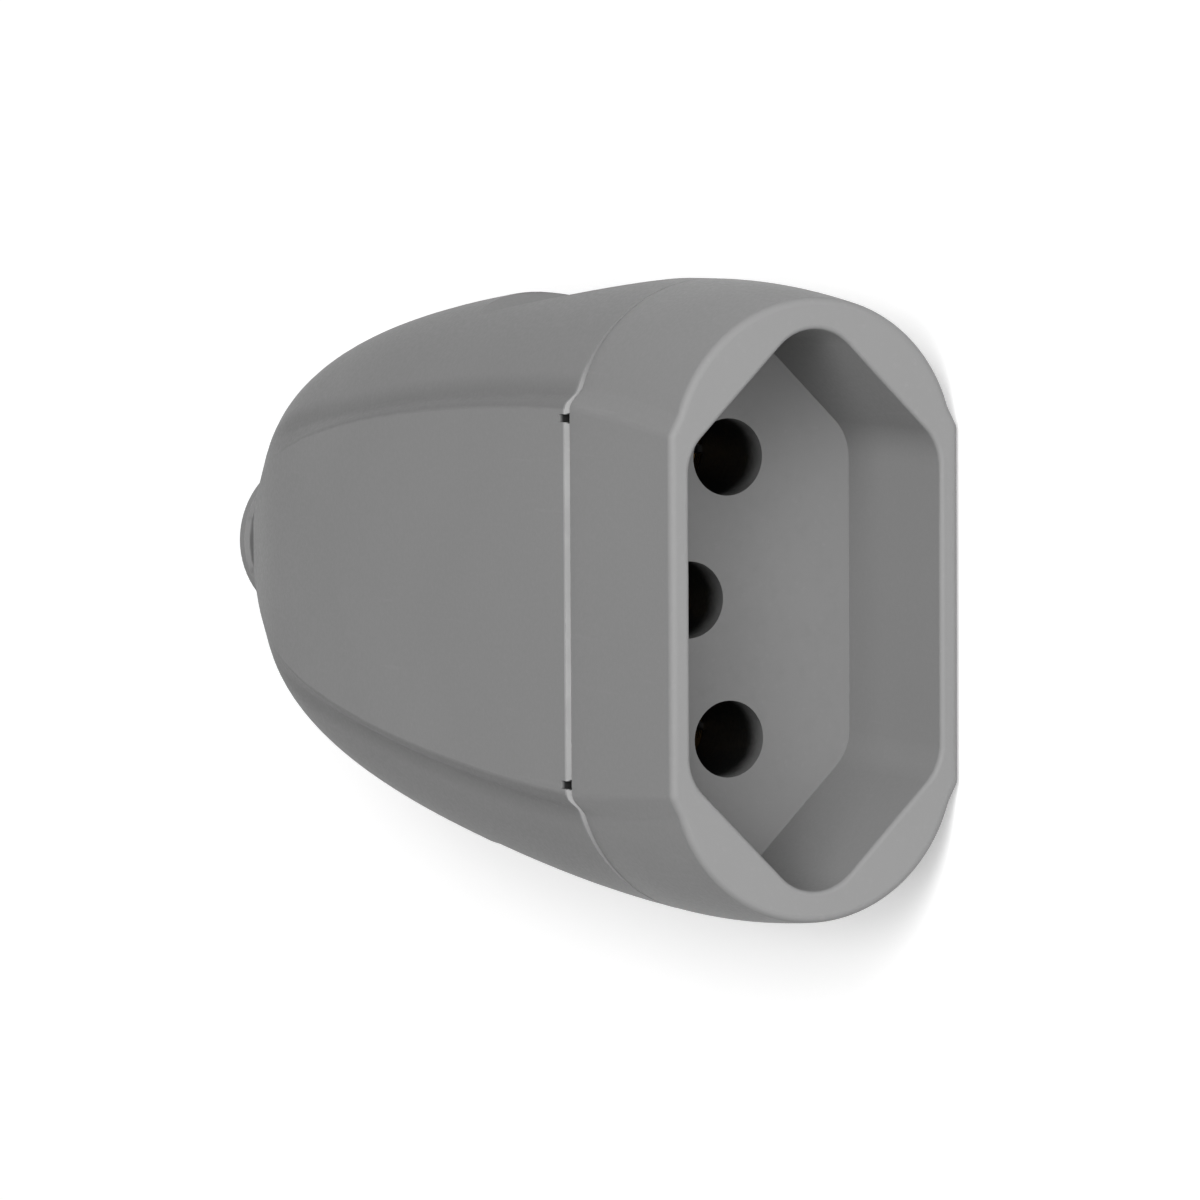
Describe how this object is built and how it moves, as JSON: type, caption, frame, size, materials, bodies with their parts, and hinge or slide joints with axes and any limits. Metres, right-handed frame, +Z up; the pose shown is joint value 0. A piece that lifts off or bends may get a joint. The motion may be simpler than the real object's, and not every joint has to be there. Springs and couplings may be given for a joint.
{
  "type": "in-line socket",
  "caption": "Rewirable in-line mains socket with a hexagonal recess and round pin holes at one end, a rounded tapering shell with thumb stops, and a flanged cable bush.",
  "frame": {"origin": "middle of the outline, on the surface that the socket lies on", "axes": "+Z up out of a flat side, +Y along the body from the mouth to the cable end, +X across the body in line with the two outer pin holes"},
  "size_m": [0.0428, 0.0792, 0.0219],
  "materials": {
    "front_plastic": "satin, fine mould texture",
    "rear_plastic": "satin, fine mould texture",
    "bush_plastic": "satin",
    "carrier_plastic": "matt",
    "clamp_plastic": "matt",
    "contact_brass": "turned",
    "spring_steel": "bright",
    "screw_steel": "zinc plated",
    "plate_steel": "zinc plated"
  },
  "bodies": {
    "root": {"front_housing": "front_plastic", "rear_housing": "rear_plastic", "cable_bush": "bush_plastic", "contact_carrier": "carrier_plastic", "cord_clamp": "clamp_plastic", "cord_clamp_screw_left": "screw_steel", "cord_clamp_screw_right": "screw_steel", "phase_contact": "contact_brass", "phase_spring_ring": "spring_steel", "phase_terminal_screw": "screw_steel", "phase_wire_plate": "plate_steel", "neutral_contact": "contact_brass", "neutral_spring_ring": "spring_steel", "neutral_terminal_screw": "screw_steel", "neutral_wire_plate": "plate_steel", "earth_contact": "contact_brass", "earth_spring_ring": "spring_steel", "earth_terminal_screw": "screw_steel", "earth_wire_plate": "plate_steel"}
  },
  "joints": []
}
